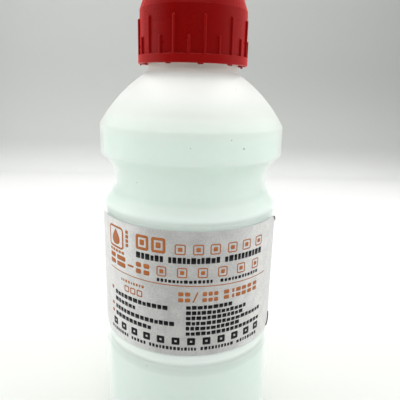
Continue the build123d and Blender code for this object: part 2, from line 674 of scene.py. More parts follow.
@dataclass(frozen=True)
class BlownPolythene:
    """Milky translucent wall: thinner and tinted by the contents below the level, denser above it, with
    painted light and shade in level bands and painted shade on the neck under the cap.
    """

    level: float            # height of the liquid's surface
    tinted: Colour = (0.845, 0.93, 0.882, 1.0)
    plain: Colour = (0.94, 0.945, 0.918, 1.0)
    # Painted shade on the neck under the cap, reddened as painted light thrown from the red cap.
    neck_painted_shade: Colour = (0.82, 0.745, 0.70, 1.0)
    streaked: Colour = (0.72, 0.78, 0.75, 1.0)
    fleck_colour: Colour = (0.16, 0.15, 0.14, 1.0)
    grit_colour: Colour = (0.33, 0.36, 0.33, 1.0)
    neck_from: float = 154.5 * MM
    neck_fade: float = 2.6 * MM
    body_density: float = 0.45
    shoulder_density: float = 0.74
    # Painted highlight bands under and over the label; painted shade under the panel's lower step and round
    # the crease.
    painted_light_bands: tuple[PaintedLightBand, ...] = (
        PaintedLightBand(51.9 * MM, 2.9 * MM, (0.925, 1.0, 0.955, 1.0), 0.4),
        PaintedLightBand(108.4 * MM, 3.4 * MM, (0.916, 0.99, 0.945, 1.0), 0.15),
        PaintedLightBand(46.6 * MM, 2.2 * MM, (0.74, 0.80, 0.764, 1.0)),
        PaintedLightBand(139.5 * MM, 9.0 * MM, (0.86, 0.895, 0.84, 1.0)),
    )
    fade: float = 4.5 * MM
    fleck_radius: float = 36.0 * MM
    flecks: tuple[tuple[float, float, float], ...] = (
        (math.radians(-60.7), 130.9 * MM, 0.42 * MM),
        (math.radians(-68.5), 133.9 * MM, 0.28 * MM),
        (math.radians(-90.3), 131.3 * MM, 0.24 * MM),
        (math.radians(37.0), 128.3 * MM, 0.4 * MM),
        (math.radians(118.0), 133.0 * MM, 0.36 * MM),
    )

    def build(self, effects: SharedEffects) -> bpy.types.Material:
        """Build the material.

        Args:
            effects: Shared node groups.

        Returns:
            The material.
        """
        material, sheet, shader = new_material("blown_polythene")
        place = sheet.object_place()
        split = sheet.add("ShaderNodeSeparateXYZ")
        sheet.join(place, split.inputs[0])
        drift = sheet.maths("MULTIPLY", sheet.noise(place, 45.0, 2.0), 2.0 * MM)
        height = sheet.maths("ADD", split.outputs["Z"], drift)
        above = sheet.ramp(height, self.level - self.fade, self.level + self.fade)
        milk = sheet.noise(place, 70.0, 3.0, 0.6)
        tint = sheet.blend(sheet.ramp(milk, 0.3, 0.7, 0.0, 0.25), self.tinted, self.plain)
        colour = sheet.blend(above, tint, self.plain)
        streak = sheet.noise(sheet.stretched(place, (90.0, 90.0, 9.0)), 1.0, 2.0)
        colour = sheet.blend(sheet.ramp(streak, 0.4, 0.7, 0.0, 0.06), colour, self.streaked)
        milkier = 0.0
        # Each band's colour is painted light or shade; its extra density makes the wall more opaque there.
        for band in self.painted_light_bands:
            away = sheet.maths("ABSOLUTE", sheet.maths("SUBTRACT", split.outputs["Z"], band.middle))
            share = sheet.ramp(away, 0.3 * band.half, band.half, 0.9, 0.0)
            colour = sheet.blend(share, colour, band.colour)
            milkier = sheet.maths("ADD", milkier, sheet.maths("MULTIPLY", share, band.extra_density))
        for angle, z, size in self.flecks:
            spot = (self.fleck_radius * math.cos(angle), self.fleck_radius * math.sin(angle), z)
            apart = sheet.add("ShaderNodeVectorMath", operation="DISTANCE")
            sheet.join(place, apart.inputs[0])
            apart.inputs[1].default_value = spot
            fleck = sheet.ramp(apart.outputs["Value"], 0.5 * size, size, 0.8, 0.0)
            colour = sheet.blend(fleck, colour, self.fleck_colour)
        # Painted shade and red cap light on the neck, fading in upward from neck_from.
        under_cap_shade = sheet.ramp(split.outputs["Z"], self.neck_from, self.neck_from + self.neck_fade)
        colour = sheet.blend(under_cap_shade, colour, self.neck_painted_shade)
        grit = placed_group(sheet, effects.specks, Cells=260.0, Dot_Size=0.11, Share=0.025)
        colour = sheet.blend(sheet.maths("MULTIPLY", grit.outputs[0], 0.45), colour, self.grit_colour)
        sheet.join(colour, shader.inputs["Base Color"])
        density = sheet.ramp(height, self.level - 2.0 * self.fade, self.level + 0.7 * self.fade,
                             self.body_density, self.shoulder_density)
        density = sheet.maths("ADD", density, milkier, clamp=True)
        facing = sheet.maths("SUBTRACT", 1.0, sheet.add("ShaderNodeNewGeometry").outputs["Backfacing"])
        sheet.join(sheet.maths("MULTIPLY", density, facing), shader.inputs["Alpha"])
        skin = placed_group(sheet, effects.skin, Wave_Scale=34.0, Peel_Scale=700.0, Peel_Share=0.1,
                            Rough_Low=0.3, Rough_High=0.42)
        scuffs = placed_group(sheet, effects.scuffs, Amount=0.6)
        rough = sheet.maths("ADD", skin.outputs["Roughness"], sheet.maths("MULTIPLY", scuffs.outputs[0], 0.2))
        sheet.join(rough, shader.inputs["Roughness"])
        set_sockets(shader, {
            "IOR": 1.5,
            "Subsurface Weight": 0.15,
            "Subsurface Scale": 2.0 * MM,
            "Subsurface Radius": (1.0, 1.0, 1.0),
        })
        bumped(sheet, shader, skin.outputs["Height"], 0.12 * MM)
        return material


@dataclass(frozen=True)
class MintSolution:
    """The contents: a pale mint liquid, a little deeper in tint in soft clouds."""

    colour: Colour = (0.82, 0.95, 0.88, 1.0)
    deeper: Colour = (0.78, 0.92, 0.85, 1.0)
    bubble_colour: Colour = (0.9, 0.97, 0.93, 1.0)

    def build(self, effects: SharedEffects) -> bpy.types.Material:
        """Build the material.

        Args:
            effects: Shared node groups.

        Returns:
            The material.
        """
        material, sheet, shader = new_material("mint_solution")
        place = sheet.object_place()
        cloud = sheet.ramp(sheet.noise(place, 28.0, 2.0), 0.3, 0.7)
        colour = sheet.blend(cloud, self.colour, self.deeper)
        bubbles = placed_group(sheet, effects.specks, Cells=420.0, Dot_Size=0.16, Share=0.04)
        bubble = sheet.maths("MULTIPLY", bubbles.outputs[0], 0.3)
        colour = sheet.blend(bubble, colour, self.bubble_colour)
        sheet.join(colour, shader.inputs["Base Color"])
        rough = sheet.ramp(sheet.noise(place, 120.0, 2.0), 0.3, 0.7, 0.08, 0.16)
        sheet.join(rough, shader.inputs["Roughness"])
        set_sockets(shader, {
            "IOR": 1.34,
            "Subsurface Weight": 0.6,
            "Subsurface Scale": 10.0 * MM,
            "Subsurface Radius": (0.8, 1.0, 0.9),
        })
        bumped(sheet, shader, sheet.noise(place, 60.0, 1.0), 0.05 * MM)
        return material


@dataclass(frozen=True)
class CapRed:
    """Deep red moulded plastic with a satin skin and paler scuffs, and painted highlights on its sharp edges,
    rib tops and flange.
    """

    colour: Colour = (0.175, 0.0008, 0.0007, 1.0)
    # Paler red for melt flow and scuffs, and for the painted highlights.
    paler_and_highlight: Colour = (0.37, 0.005, 0.004, 1.0)
    sheen: Colour = (0.95, 0.03, 0.03, 1.0)
    # Radius beyond which the rib tops and the flange get a painted highlight.
    highlight_from: float = 20.6 * MM

    def build(self, effects: SharedEffects) -> bpy.types.Material:
        """Build the material.

        Args:
            effects: Shared node groups.

        Returns:
            The material.
        """
        material, sheet, shader = new_material("cap_red")
        place = sheet.object_place()
        scuffs = placed_group(sheet, effects.scuffs, Amount=0.8)
        # Scuffs are wear; sharp edges found by pointiness get a painted highlight.
        edge = sheet.add("ShaderNodeNewGeometry").outputs["Pointiness"]
        scuffs_and_highlights = sheet.maths("MAXIMUM", scuffs.outputs[0], sheet.ramp(edge, 0.52, 0.6))
        melt = sheet.noise(sheet.stretched(place, (60.0, 60.0, 18.0)), 1.0, 3.0)
        flow = sheet.ramp(melt, 0.3, 0.7, 0.0, 0.07)
        # Painted highlight on what stands out beyond highlight_from: the rib tops and the flange.
        flat = sheet.add("ShaderNodeVectorMath", operation="LENGTH")
        sheet.join(sheet.stretched(place, (1.0, 1.0, 0.0)), flat.inputs[0])
        rib_and_flange_highlight = sheet.ramp(flat.outputs["Value"], self.highlight_from, self.highlight_from + 0.35 * MM, 0.0, 0.5)
        scuffs_and_highlights = sheet.maths("MAXIMUM", scuffs_and_highlights, rib_and_flange_highlight)
        colour = sheet.blend(sheet.maths("MAXIMUM", flow, sheet.maths("MULTIPLY", scuffs_and_highlights, 0.5)),
                             self.colour, self.paler_and_highlight)
        sheet.join(colour, shader.inputs["Base Color"])
        skin = placed_group(sheet, effects.skin, Wave_Scale=70.0, Peel_Scale=1500.0, Peel_Share=0.22,
                            Rough_Low=0.27, Rough_High=0.33)
        sheet.join(sheet.maths("ADD", skin.outputs["Roughness"], sheet.maths("MULTIPLY", scuffs_and_highlights, 0.15)),
                   shader.inputs["Roughness"])
        set_sockets(shader, {
            "IOR": 1.5,
            "Specular IOR Level": 0.2,
            "Sheen Weight": 0.7,
            "Sheen Roughness": 0.5,
            "Sheen Tint": self.sheen,
        })
        bumped(sheet, shader, skin.outputs["Height"], 0.05 * MM)
        return material


@dataclass(frozen=True)
class LinerFoam:
    """Closed-cell white foam with fine pits."""

    colour: Colour = (0.78, 0.78, 0.75, 1.0)
    pit: Colour = (0.62, 0.62, 0.6, 1.0)

    def build(self, effects: SharedEffects) -> bpy.types.Material:
        """Build the material.

        Args:
            effects: Shared node groups.

        Returns:
            The material.
        """
        material, sheet, shader = new_material("liner_foam")
        pits = placed_group(sheet, effects.specks, Cells=2200.0, Dot_Size=0.35, Share=0.5)
        sheet.join(sheet.blend(pits.outputs[0], self.colour, self.pit), shader.inputs["Base Color"])
        skin = placed_group(sheet, effects.skin, Wave_Scale=120.0, Peel_Scale=3000.0, Peel_Share=0.8,
                            Rough_Low=0.75, Rough_High=0.9)
        sheet.join(skin.outputs["Roughness"], shader.inputs["Roughness"])
        bumped(sheet, shader, skin.outputs["Height"], 0.05 * MM)
        return material


@dataclass(frozen=True)
class SilverFilm:
    """Printed label stock: satin silver film with a fine grain."""

    colour: Colour = (0.80, 0.80, 0.78, 1.0)
    darker: Colour = (0.64, 0.64, 0.63, 1.0)
    metal: float = 0.42

    def build(self, effects: SharedEffects) -> bpy.types.Material:
        """Build the material.

        Args:
            effects: Shared node groups.

        Returns:
            The material.
        """
        material, sheet, shader = new_material("silver_film")
        place = sheet.object_place()
        grain = sheet.noise(place, 3200.0, 2.0, 0.7)
        mottle = sheet.noise(place, 240.0, 4.0, 0.6)
        mixed = sheet.maths("ADD", sheet.maths("MULTIPLY", grain, 0.6), sheet.maths("MULTIPLY", mottle, 0.4))
        colour = sheet.blend(sheet.ramp(mixed, 0.43, 0.57), self.darker, self.colour)
        sheet.join(colour, shader.inputs["Base Color"])
        scuffs = placed_group(sheet, effects.scuffs, Amount=0.5)
        rough = sheet.ramp(mottle, 0.3, 0.7, 0.38, 0.46)
        sheet.join(sheet.maths("ADD", rough, sheet.maths("MULTIPLY", scuffs.outputs[0], 0.12)),
                   shader.inputs["Roughness"])
        shader.inputs["Metallic"].default_value = self.metal
        skin = placed_group(sheet, effects.skin, Wave_Scale=45.0, Peel_Scale=2600.0, Peel_Share=0.12)
        bumped(sheet, shader, skin.outputs["Height"], 0.06 * MM)
        return material


@dataclass(frozen=True)
class PrintInk:
    """Screen-printed ink, thin enough in places to let the film through."""

    name: str
    colour: Colour
    thin: Colour

    def build(self) -> bpy.types.Material:
        """Build the material.

        Returns:
            The material.
        """
        material, sheet, shader = new_material(self.name)
        place = sheet.object_place()
        cover = sheet.ramp(sheet.noise(place, 1400.0, 3.0, 0.7), 0.58, 0.76, 0.0, 0.5)
        sheet.join(sheet.blend(cover, self.colour, self.thin), shader.inputs["Base Color"])
        rough = sheet.ramp(sheet.noise(place, 600.0, 2.0), 0.3, 0.7, 0.4, 0.55)
        sheet.join(rough, shader.inputs["Roughness"])
        shader.inputs["Specular IOR Level"].default_value = 0.3
        bumped(sheet, shader, sheet.noise(place, 2500.0, 2.0), 0.01 * MM)
        return material


class Ink(Enum):
    """The two inks of the label."""

    ORANGE = PrintInk("orange_ink", (0.40, 0.125, 0.030, 1.0), (0.46, 0.26, 0.15, 1.0))
    BLACK = PrintInk("black_ink", (0.006, 0.006, 0.007, 1.0), (0.05, 0.05, 0.055, 1.0))


# ---------------------------------------------------------------- parts shared by the pieces


class Body(Enum):
    """Bodies of the frame that pieces ride on."""

    BOTTLE = "bottle"
    CAP = "cap"
    LINER = "liner"


class Slot(Enum):
    """Material slots of the record."""

    BOTTLE_WALL = "bottle_wall"
    CAP = "cap"
    CAP_LINER = "cap_liner"
    LABEL = "label"
    LIQUID = "liquid"


@dataclass(frozen=True)
class ThreadForm:
    """Section of the screw thread, shared by neck and cap."""

    pitch: float = 4.2 * MM
    crest: float = 1.0 * MM
    root: float = 2.0 * MM


def thread_relief(
    outline: np.ndarray, angles: np.ndarray, start: float, turns: float, rise: float, ridge: ThreadForm
) -> np.ndarray:
    """Height of a right-hand screw thread over its wall.

    At turn t along the helix the thread's middle is at start + pitch * t. The height falls from its
    crest to nothing over the flank, by the distance up or down to the nearest turn, and is faded in
    and out over the first and last tenth of a turn.

    Args:
        outline: (radius, height) points.
        angles: Angles of the columns.
        start: Height of the thread's middle at its lower end.
        turns: Number of turns.
        rise: How far the crest stands out; negative for a thread inside a bore.
        ridge: Pitch and widths of the thread.

    Returns:
        Height for each outline point and angle.
    """
    around = angles[None, :] / FULL_TURN
    up = (outline[:, 1:] - start) / ridge.pitch
    turn = around + np.round(up - around)
    away = np.abs(up - turn) * ridge.pitch
    flank = 1.0 - smooth_ramp(away, ridge.crest / 2.0, ridge.root / 2.0)
    run = smooth_ramp(turn, -0.02, 0.10) * (1.0 - smooth_ramp(turn, turns - 0.10, turns + 0.02))
    return flank * run * rise


def settle(piece: bpy.types.Object, body: Body, replaces: str | None = None) -> None:
    """Attach a piece to the body it moves with, and hide the CAD node that it replaces.

    Args:
        piece: The piece.
        body: The body it rides on.
        replaces: Name of the CAD node that it replaces, if any.
    """
    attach(piece, body.value)
    if replaces:
        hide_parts(replaces)


# ---------------------------------------------------------------- the bottle


@dataclass
class BlownBottle:
    """The blown body with its neck, thread, bead and mould parting line, and the liquid inside."""

    wall: float = 1.2 * MM
    ring_inner: float = 26.5 * MM
    push_up: float = 3.0 * MM
    push_up_bow: float = 0.25       # share of the push-up by which its slope bows
    heel_fillet: float = 4.5 * MM
    body_radius: float = 35.8 * MM
    panel_radius: float = 35.5 * MM
    panel_bottom: float = 49.2 * MM
    panel_top: float = 103.6 * MM
    panel_step: float = 0.9 * MM
    lip: float = 106.4 * MM
    lip_fillet: float = 2.5 * MM
    waist_corner: tuple[float, float] = (27.0 * MM, 116.3 * MM)
    waist_fillet: float = 10.0 * MM
    band_bottom: float = 125.2 * MM
    band_top: float = 136.2 * MM
    band_fillet: float = 1.5 * MM
    crease_fillet: float = 2.2 * MM
    shoulder_rise: float = 1.7 * MM
    neck_radius: float = 17.4 * MM
    neck_root: float = 155.9 * MM
    neck_root_fillet: float = 1.8 * MM
    rim_fillet: float = 0.3 * MM
    bead_radius: float = 18.7 * MM
    bead_middle: float = 160.2 * MM
    bead_half: float = 0.9 * MM
    bead_shelf: float = 0.4 * MM        # height of the bead's flat under its middle
    bead_fillet: float = 0.25 * MM
    thread: ThreadForm = ThreadForm()
    thread_start: float = 169.3 * MM
    thread_turns: float = 2.0
    thread_radius: float = 18.6 * MM
    columns: int = 168
    seam_height: float = 0.07 * MM
    seam_width: float = 0.35 * MM
    seam_angle: float = math.radians(-2.8)
    meniscus: float = 0.7 * MM
    meniscus_reach: float = 1.6 * MM
    film_gap: float = 0.05 * MM

    def __post_init__(self) -> None:
        """Take the outer sizes and the level from the CAD nodes."""
        low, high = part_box("bottle")
        self.band_radius = (high.x - low.x) / 2.0
        self.neck_top = high.z
        self.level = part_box("liquid")[1].z

    def outline(self) -> np.ndarray:
        """Outside of the body from the middle of the base up to the top of the rim.

        Returns:
            Array of (radius, height) points.
        """
        push = bowed_line((0.0, self.push_up), (self.ring_inner, 0.0), -self.push_up * self.push_up_bow, 14)
        thread_low = self.thread_start - self.thread.root
        thread_high = self.thread_start + self.thread.pitch * self.thread_turns + self.thread.root
        shoulder = bowed_line(
            (self.band_radius, self.band_top), (self.neck_radius, self.neck_root), self.shoulder_rise, 22
        )
        body = filleted_run(
            [
                (self.ring_inner, 0.0, 0.0),
                (self.body_radius, 0.0, self.heel_fillet),
                (self.body_radius, self.panel_bottom, 0.0),
                (self.panel_radius, self.panel_bottom + self.panel_step, 0.0),
                (self.panel_radius, self.panel_top, 0.0),
                (self.body_radius, self.panel_top + self.panel_step, 0.0),
                (self.body_radius, self.lip, self.lip_fillet),
                (*self.waist_corner, self.waist_fillet),
                (self.band_radius, self.band_bottom, self.band_fillet),
                (self.band_radius, self.band_top, self.crease_fillet),
                (*shoulder[2], 0.0),
            ],
            4.0 * MM,
        )
        neck_low = filleted_run(
            [
                (*shoulder[-3], 0.0),
                (self.neck_radius, self.neck_root, self.neck_root_fillet),
                (self.neck_radius, self.bead_middle - self.bead_half, 0.0),
                (self.bead_radius, self.bead_middle - self.bead_shelf, self.bead_fillet),
                (self.bead_radius, self.bead_middle, self.bead_fillet),
                (self.neck_radius, self.bead_middle + self.bead_half, 0.4 * MM),
                (self.neck_radius, thread_low, 0.0),
            ],
            1.5 * MM,
        )
        neck_thread = filleted_run(
            [(self.neck_radius, thread_low, 0.0), (self.neck_radius, thread_high, 0.0)], 0.16 * MM
        )
        rim = filleted_run(
            [
                (self.neck_radius, thread_high, 0.0),
                (self.neck_radius, self.neck_top, self.rim_fillet),
                (self.neck_radius - self.wall / 2.0, self.neck_top, 0.0),
            ],
            0.5 * MM,
        )
        return np.concatenate([push, body[1:], shoulder[3:-3], neck_low, neck_thread[1:], rim[1:]])

    def inner_outline(self, gap: float = 0.0) -> np.ndarray:
        """Inside of the wall, from the middle of the floor up to just under the rim.

        Args:
            gap: Extra distance inward, for what stands clear of the wall.

        Returns:
            Array of (radius, height) points.
        """
        outside = self.outline()
        plain = outside[outside[:, 1] < self.bead_middle - 1.0 * MM]
        inside = moved_inward(plain, self.wall + gap)
        inside[0] = (0.0, self.push_up + self.wall + gap)
        bore = self.neck_radius - self.wall - gap
        rim_foot = self.neck_top - self.rim_fillet
        straight = filleted_run([(bore, inside[-1, 1], 0.0), (bore, rim_foot, 0.0)], 3.0 * MM)
        return np.concatenate([inside, straight[1:]])

    def seam_relief(self, outline: np.ndarray, angles: np.ndarray) -> np.ndarray:
        """Height of the parting line that the two mould halves leave, one on each side.

        Args:
            outline: (radius, height) points.
            angles: Angles of the columns.

        Returns:
            Height for each outline point and angle.
        """
        aside = np.abs(np.sin(angles - self.seam_angle))[None, :] * np.maximum(outline[:, :1], 1.0 * MM)
        ridge = 1.0 - smooth_ramp(aside, 0.2 * self.seam_width, self.seam_width)
        plain = smooth_ramp(outline[:, 1:], 0.3 * MM, 2.0 * MM)
        return ridge * plain * self.seam_height

    def build_wall(self) -> bpy.types.Object:
        """Build the closed wall: outside, rim and inside as one turned surface.

        Returns:
            The wall.
        """
        seams = np.array([self.seam_angle, self.seam_angle + math.pi])
        offsets = np.radians(np.array([-1.1, -0.55, -0.35, -0.15, 0.0, 0.15, 0.35, 0.55, 1.1]))
        angles = ring_angles(self.columns, seams, offsets)
        outside = self.outline()
        rise = self.thread_radius - self.neck_radius
        relief = thread_relief(outside, angles, self.thread_start, self.thread_turns, rise, self.thread)
        relief += self.seam_relief(outside, angles)
        relief[outside[:, 1] > self.neck_top - self.rim_fillet * 1.5] = 0.0
        outer = turned_grid(outside, angles, relief)
        inner = turned_grid(self.inner_outline()[::-1], angles)
        return closed_turning("blown_bottle", np.concatenate([outer, inner]))

    def build_liquid(self) -> bpy.types.Object:
        """Build the contents, with the surface drawn a little way up the wall all round.

        At distance d from the wall the surface stands meniscus * (1 - exp(-d / reach)) under the level.

        Returns:
            The contents.
        """
        inside = self.inner_outline(self.film_gap)
        under = inside[inside[:, 1] < self.level - 0.2 * MM]
        edge_radius = float(np.interp(self.level, inside[:, 1], inside[:, 0]))
        share = np.linspace(0.0, 1.0, 24)[1:]
        from_wall = share**2 * edge_radius
        sink = self.meniscus * (1.0 - np.exp(-from_wall / self.meniscus_reach))
        surface = np.stack([edge_radius - from_wall, self.level - sink], axis=1)
        surface[-1, 0] = 0.0
        outline = np.concatenate([under, [(edge_radius, self.level)], surface])
        angles = np.arange(self.columns) * FULL_TURN / self.columns
        return closed_turning("mint_liquid", turned_grid(outline, angles))

    def build(self) -> list[bpy.types.Object]:
        """Build the wall and the contents and settle them in the frame.

        Returns:
            Both pieces.
        """
        self.shell = self.build_wall()
        self.liquid = self.build_liquid()
        settle(self.shell, Body.BOTTLE, "bottle")
        settle(self.liquid, Body.BOTTLE, "liquid")
        return [self.shell, self.liquid]

    def dress(self, effects: SharedEffects) -> None:
        """Give the wall and the contents their materials.

        Args:
            effects: Shared node groups.
        """
        self.shell.data.materials.append(BlownPolythene(level=self.level).build(effects))
        self.liquid.data.materials.append(MintSolution().build(effects))


# ---------------------------------------------------------------- the cap and its liner


@dataclass
class ScrewCap:
    """The ribbed cap with its inner thread and what is left of the tamper band's bridges."""

    flange_radius: float = 21.0 * MM
    flange_top: float = 161.6 * MM
    flange_height: float = 3.1 * MM
    drum_radius: float = 20.3 * MM
    drum_top: float = 177.5 * MM
    crown_radius: float = 18.2 * MM
    crown_fillet: float = 1.5 * MM
    edge_fillet: float = 0.3 * MM
    flange_bore: float = 19.6 * MM
    flange_bore_top: float = 162.2 * MM
    bore: float = 19.2 * MM
    bore_top: float = 178.9 * MM
    ceiling_radius: float = 17.8 * MM
    ceiling: float = 181.75 * MM
    thread: ThreadForm = ThreadForm()
    thread_start: float = 167.2 * MM
    thread_turns: float = 2.25
    thread_radius: float = 17.9 * MM
    ribs_of_each: int = 12
    long_rib_top: float = 174.2 * MM
    short_rib_top: float = 167.6 * MM
    rib_start: float = math.radians(-79.0)
    rib_width: float = 0.9 * MM
    rib_end_fillet: float = 0.4 * MM
    rib_edge_fillet: float = 0.25 * MM
    rib_flank: float = 0.03 * MM
    columns: int = 168
    stubs: int = 11
    stub_start: float = math.radians(-82.5)
    stub_radius: float = 20.2 * MM
    stub_width: float = 2.3 * MM
    stub_depth: float = 0.7 * MM
    stub_height: float = 0.5 * MM
    stub_root: float = 0.25 * MM        # how far a stub reaches up into the flange

    def __post_init__(self) -> None:
        """Take the top from the CAD node, and stand the flange under its upper edge."""
        self.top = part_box("cap")[1].z
        self.bottom = self.flange_top - self.flange_height

    def inner_outline(self) -> np.ndarray:
        """Inside, from the middle of the ceiling down the bore to the mouth of the flange.

        Returns:
            Array of (radius, height) points.
        """
        thread_low = self.thread_start - self.thread.root
        thread_high = self.thread_start + self.thread.pitch * self.thread_turns + self.thread.root
        head = filleted_run(
            [
                (0.0, self.ceiling, 0.0),
                (self.ceiling_radius, self.ceiling, self.edge_fillet),
                (self.bore, self.bore_top, 0.0),
                (self.bore, thread_high, 0.0),
            ],
            3.0 * MM,
        )
        threaded = filleted_run([(self.bore, thread_high, 0.0), (self.bore, thread_low, 0.0)], 0.22 * MM)
        mouth = filleted_run(
            [
                (self.bore, thread_low, 0.0),
                (self.bore, self.flange_bore_top + self.flange_bore - self.bore, 0.0),
                (self.flange_bore, self.flange_bore_top, 0.0),
                (self.flange_bore, self.bottom, 0.15 * MM),
                ((self.flange_bore + self.flange_radius) / 2.0, self.bottom, 0.0),
            ],
            1.5 * MM,
        )
        return np.concatenate([head, threaded[1:], mouth[1:]])

    def outer_outline(self) -> np.ndarray:
        """Outside, from the underside of the flange up to the middle of the crown.

        Returns:
            Array of (radius, height) points.
        """
        flange = filleted_run(
            [
                ((self.flange_bore + self.flange_radius) / 2.0, self.bottom, 0.0),
                (self.flange_radius, self.bottom, self.edge_fillet),
                (self.flange_radius, self.flange_top, self.edge_fillet),
                (self.drum_radius, self.flange_top, 0.1 * MM),
                (self.drum_radius, self.short_rib_top - 1.2 * MM, 0.0),
            ],
            0.9 * MM,
        )
        tips = [
            filleted_run(
                [(self.drum_radius, top - 1.2 * MM, 0.0), (self.drum_radius, top + 0.5 * MM, 0.0)], 0.1 * MM
            )
            for top in (self.short_rib_top, self.long_rib_top)
        ]
        between = filleted_run([(*tips[0][-1], 0.0), (*tips[1][0], 0.0)], 0.9 * MM)
        crown = filleted_run(
            [
                (*tips[1][-1], 0.0),
                (self.drum_radius, self.drum_top, self.edge_fillet),
                (self.crown_radius, self.top, self.crown_fillet),
                (0.0, self.top, 0.0),
            ],
            1.5 * MM,
        )
        return np.concatenate([flange, tips[0][1:], between[1:], tips[1][1:], crown[1:]])

    def rib_relief(self, outline: np.ndarray, angles: np.ndarray, start: float, top: float) -> np.ndarray:
        """Height of one set of grip ribs over the drum.

        The rib's outline is a bar with a rounded end. At depth d inside that outline its face
        stands at sqrt(1 - (1 - d / fillet)^2) of the full height, which rounds its edges, and the
        full height is what takes the drum out to the flange.

        Args:
            outline: (radius, height) points.
            angles: Angles of the columns.
            start: Direction of the first rib.
            top: Height of the ribs' upper ends.

        Returns:
            Height for each outline point and angle.
        """
        step = FULL_TURN / self.ribs_of_each
        aside = (angles - start + step / 2.0) % step - step / 2.0
        across = np.abs(aside)[None, :] * self.drum_radius
        half = self.rib_width / 2.0
        over = np.maximum(across - (half - self.rib_end_fillet), 0.0)
        past = np.maximum(outline[:, 1:] - (top - self.rib_end_fillet), 0.0)
        depth = self.rib_end_fillet - np.hypot(over, past)
        inside = np.clip(depth / self.rib_edge_fillet, 0.0, 1.0)
        face = np.sqrt(1.0 - (1.0 - inside) ** 2)
        full = np.maximum(self.flange_radius - outline[:, :1], 0.0)
        on_drum = (outline[:, 1:] > self.flange_top - self.edge_fillet) & (outline[:, 1:] < self.drum_top)
        return face * full * on_drum

    def rib_angles(self) -> np.ndarray:
        """Angles of the columns, crowded across each rib.

        Returns:
            Sorted angles, in radians.
        """
        half = self.rib_width / 2.0
        steps = np.array([0.0, 0.26, 0.36, 0.42]) * MM
        one_side = np.concatenate([steps, [half - 0.006 * MM, half + self.rib_flank]])
        offsets = np.unique(np.concatenate([-one_side, one_side])) / self.drum_radius
        every = self.rib_start + np.arange(2 * self.ribs_of_each) * math.pi / self.ribs_of_each
        return ring_angles(self.columns, every, offsets)

    def build_shell(self) -> bpy.types.Object:
        """Build the closed cap: inside, underside and outside as one turned surface.

        Returns:
            The cap.
        """
        angles = self.rib_angles()
        inside = self.inner_outline()
        rise = self.thread_radius - self.bore
        thread = thread_relief(inside, angles, self.thread_start, self.thread_turns, rise, self.thread)
        outside = self.outer_outline()[1:]
        between = self.rib_start + math.pi / self.ribs_of_each
        ribs = np.maximum(
            self.rib_relief(outside, angles, self.rib_start, self.long_rib_top),
            self.rib_relief(outside, angles, between, self.short_rib_top),
        )
        grid = np.concatenate([turned_grid(inside, angles, thread), turned_grid(outside, angles, ribs)])
        return closed_turning("ribbed_cap", grid)

    def build_stubs(self) -> bpy.types.Object:
        """Build the torn bridges: small rounded lumps with ragged lower ends.

        Each lump is a box whose section is rounded by raising the cosine and sine of the angle round
        it to the power 0.6, drawn down from inside the flange and pinched towards its torn end.

        Returns:
            All the bridges as one piece.
        """
        chance = np.random.default_rng(5)
        sides = 14
        around = np.arange(sides) * FULL_TURN / sides
        side = np.sign(np.cos(around)) * np.abs(np.cos(around)) ** 0.6
        out = np.sign(np.sin(around)) * np.abs(np.sin(around)) ** 0.6
        lumps = []
        for index in range(self.stubs):
            direction = self.stub_start + index * FULL_TURN / self.stubs
            torn = self.stub_height * (0.8 + 0.2 * math.sin(2.4 * index))
            share = np.array([0.0, 0.0, 0.5, 0.8, 1.0, 1.0])[:, None]
            width = np.array([0.0, 1.0, 0.97, 0.86, 0.6, 0.0])[:, None]
            ragged = 0.1 * chance.standard_normal((len(share), sides)) * width * (share > 0.4)
            wide = width * side + ragged
            deep = width * out
            drop = share * (1.0 + 0.12 * chance.standard_normal((len(share), sides)) * (width > 0.0))
            x = self.stub_radius + deep * self.stub_depth / 2.0
            y = wide * self.stub_width / 2.0
            z = self.bottom + self.stub_root - drop * (torn + self.stub_root)
            turned_x = x * math.cos(direction) - y * math.sin(direction)
            turned_y = x * math.sin(direction) + y * math.cos(direction)
            lumps.append(np.stack([turned_x, turned_y, z], axis=2))
        points, faces = joined([pole_ended(lump) for lump in lumps])
        return object_from_arrays("torn_bridges", points, faces)

    def build(self) -> list[bpy.types.Object]:
        """Build the cap and the torn bridges and settle them in the frame.

        Returns:
            Both pieces.
        """
        self.shell = self.build_shell()
        self.bridges = self.build_stubs()
        settle(self.shell, Body.CAP, "cap")
        settle(self.bridges, Body.CAP)
        return [self.shell, self.bridges]

    def dress(self, effects: SharedEffects) -> None:
        """Give both pieces the cap's plastic.

        Args:
            effects: Shared node groups.
        """
        plastic = CapRed().build(effects)
        self.shell.data.materials.append(plastic)
        self.bridges.data.materials.append(plastic)


@dataclass
class CapLiner:
    """Foam disc in the cap, with the ring that the rim has pressed into it."""

    edge_fillet: float = 0.3 * MM
    ring_inner: float = 16.0 * MM
    ring_depth: float = 0.12 * MM
    columns: int = 120

    def build(self) -> list[bpy.types.Object]:
        """Build the disc to the CAD node's size and settle it in the frame.

        Returns:
            The disc, alone in a list.
        """
        low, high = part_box("cap_liner")
        radius = (high.x - low.x) / 2.0
        outline = filleted_run(
            [
                (0.0, low.z, 0.0),
                (self.ring_inner, low.z, 0.0),
                (self.ring_inner + 0.3 * MM, low.z + self.ring_depth, 0.0),
                (radius, low.z + self.ring_depth, self.edge_fillet),
                (radius, high.z, self.edge_fillet),
                (0.0, high.z, 0.0),
            ],
            2.0 * MM,
        )
        angles = np.arange(self.columns) * FULL_TURN / self.columns
        self.disc = closed_turning("foam_liner", turned_grid(outline, angles))
        settle(self.disc, Body.LINER, "cap_liner")
        return [self.disc]

    def dress(self, effects: SharedEffects) -> None:
        """Give the disc its foam.

        Args:
            effects: Shared node groups.
        """
        self.disc.data.materials.append(LinerFoam().build(effects))


# ---------------------------------------------------------------- the label and its print


